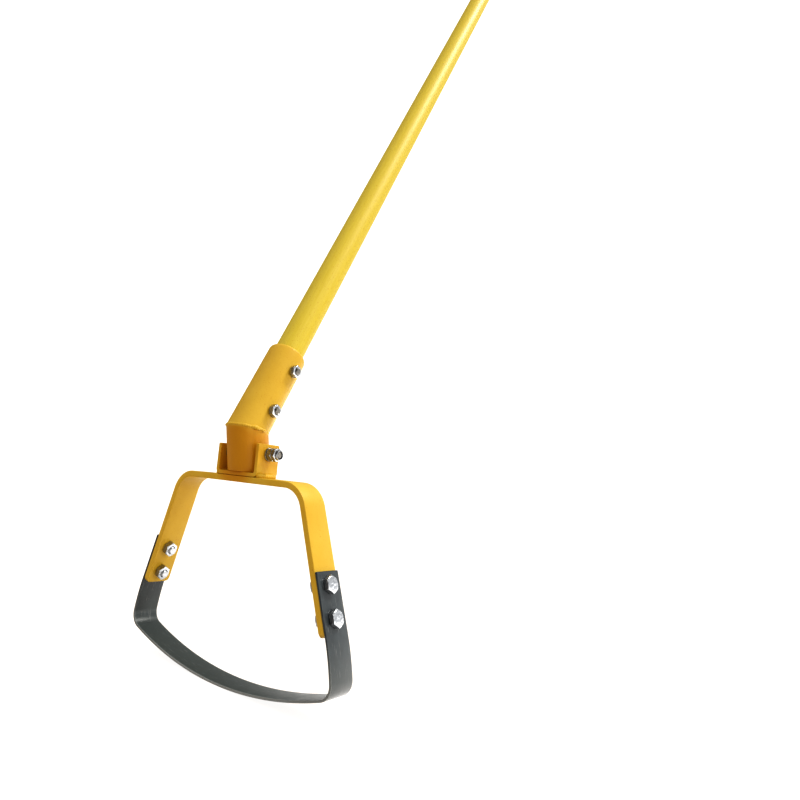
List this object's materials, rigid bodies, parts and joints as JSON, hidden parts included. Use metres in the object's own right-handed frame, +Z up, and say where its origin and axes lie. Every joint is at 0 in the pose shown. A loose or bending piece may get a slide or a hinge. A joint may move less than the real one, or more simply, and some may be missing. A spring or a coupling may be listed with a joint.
{
  "type": "long-handled weeder",
  "caption": "Stirrup weeder: a bent steel blade bolted across a flat-bar bow that swings on a pivot below a long tubular handle.",
  "frame": {"origin": "middle of the bow's flat underside", "axes": "+X along the swing axis, +Z up out of the bow, +Y back, the way the handle leans"},
  "size_m": [0.223, 0.6375, 1.2517],
  "materials": {
    "orange_paint": "gloss",
    "handle_yellow": "gloss",
    "cap_black": "matte",
    "zinc": "zinc plated",
    "spring_steel": "dark, hardened"
  },
  "bodies": {
    "handle_assembly": {"handle_tube": "handle_yellow", "handle_end_cap": "cap_black", "socket_tube": "orange_paint", "neck_tube": "orange_paint", "mitre_weld": "orange_paint", "pivot_sleeve": "zinc", "pivot_bolt": "zinc", "pivot_nut": "zinc", "pivot_lock_nut": "zinc", "pivot_washer_left": "zinc", "pivot_washer_right": "zinc", "handle_bolt_lower": "zinc", "handle_bolt_upper": "zinc", "handle_nut_lower": "zinc", "handle_nut_upper": "zinc"},
    "stirrup": {"clevis": "orange_paint", "clevis_weld_left": "orange_paint", "clevis_weld_right": "orange_paint", "bow": "orange_paint", "blade": "spring_steel", "blade_bolt_left_lower": "zinc", "blade_bolt_left_upper": "zinc", "blade_bolt_right_lower": "zinc", "blade_bolt_right_upper": "zinc", "blade_nut_left_lower": "zinc", "blade_nut_left_upper": "zinc", "blade_nut_right_lower": "zinc", "blade_nut_right_upper": "zinc"}
  },
  "joints": [
    {"name": "stirrup_swing", "type": "hinge", "parent": "handle_assembly", "child": "stirrup", "pos_m": [0, 0, 0.0242], "axis": [1, 0, 0], "range_deg": [0, 22.6]}
  ]
}
